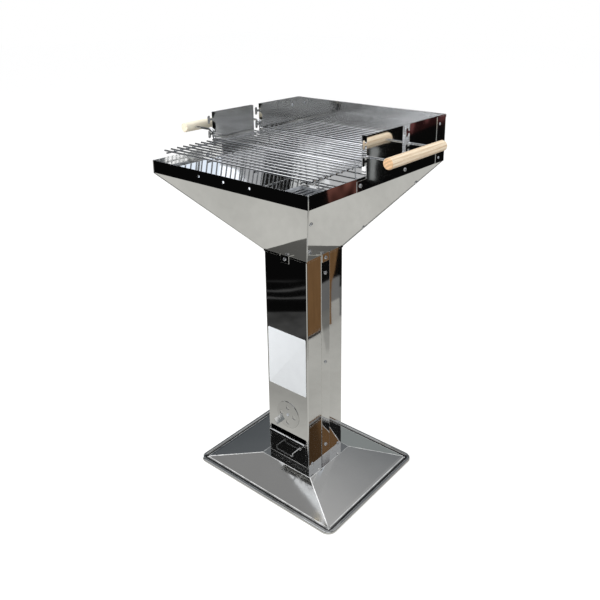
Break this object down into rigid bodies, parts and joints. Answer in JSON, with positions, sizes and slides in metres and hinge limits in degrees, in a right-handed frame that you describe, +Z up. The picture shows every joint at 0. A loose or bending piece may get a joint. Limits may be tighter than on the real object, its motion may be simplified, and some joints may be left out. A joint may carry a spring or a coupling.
{
  "type": "pillar barbecue grill",
  "caption": "Free-standing charcoal barbecue: polished sheet-steel pillar with funnel bowl, hooked windshield, height-adjustable wire grate, ash drawer and rotary vent.",
  "frame": {"origin": "on the floor, under the middle of the column", "axes": "+Z up; -Y is the front, with the drawer and the vent; +X is on the right seen from the front"},
  "size_m": [0.655, 0.5336, 0.969],
  "materials": {
    "polished_steel": "mirror polished stainless sheet",
    "zinc_steel": "bright zinc",
    "dark_steel": "plain rolled",
    "chrome_wire": "chromium plated wire",
    "beech": "sanded, untreated"
  },
  "bodies": {
    "stand": {"base_plate": "polished_steel", "foot_angles": "zinc_steel", "column_front_shell": "polished_steel", "column_rear_shell": "polished_steel", "lap_bolts": "zinc_steel", "lap_nuts": "zinc_steel", "foot_bolts": "zinc_steel", "foot_nuts": "zinc_steel", "vent_rivet": "zinc_steel", "funnel_front": "polished_steel", "funnel_rear": "polished_steel", "funnel_left": "polished_steel", "funnel_right": "polished_steel", "funnel_corner_strips": "polished_steel", "funnel_corner_bolts": "zinc_steel", "funnel_corner_nuts": "zinc_steel", "throat_bolts": "zinc_steel", "throat_nuts": "zinc_steel", "windshield_left": "polished_steel", "windshield_right": "polished_steel", "windshield_rear": "polished_steel", "windshield_bolts": "zinc_steel", "windshield_nuts": "zinc_steel", "windshield_rivets": "zinc_steel"},
    "ash_drawer": {"ash_drawer_box": "polished_steel", "ash_drawer_front": "polished_steel", "ash_drawer_handle": "chrome_wire"},
    "vent": {"vent_disc": "polished_steel"},
    "charcoal_tray": {"charcoal_grate": "dark_steel"},
    "grill": {"grate_rods": "chrome_wire", "grate_cross_wires": "chrome_wire", "grate_carrier_front": "chrome_wire", "grate_carrier_rear": "chrome_wire", "handle_left": "beech", "handle_right": "beech"}
  },
  "joints": [
    {"name": "drawer_slide", "type": "slide", "parent": "stand", "child": "ash_drawer", "axis": [0, -1, 0], "range_m": [0, 0.125]},
    {"name": "vent_turn", "type": "hinge", "parent": "stand", "child": "vent", "pos_m": [0, -0.072, 0.1805], "axis": [0, -1, 0], "continuous": true},
    {"name": "charcoal_lift", "type": "slide", "parent": "stand", "child": "charcoal_tray", "axis": [0, 0, 1], "range_m": [0, 0.145]},
    {"name": "grill_lift", "type": "slide", "parent": "stand", "child": "grill", "axis": [0, 0, 1], "range_m": [0, 0.02]}
  ]
}
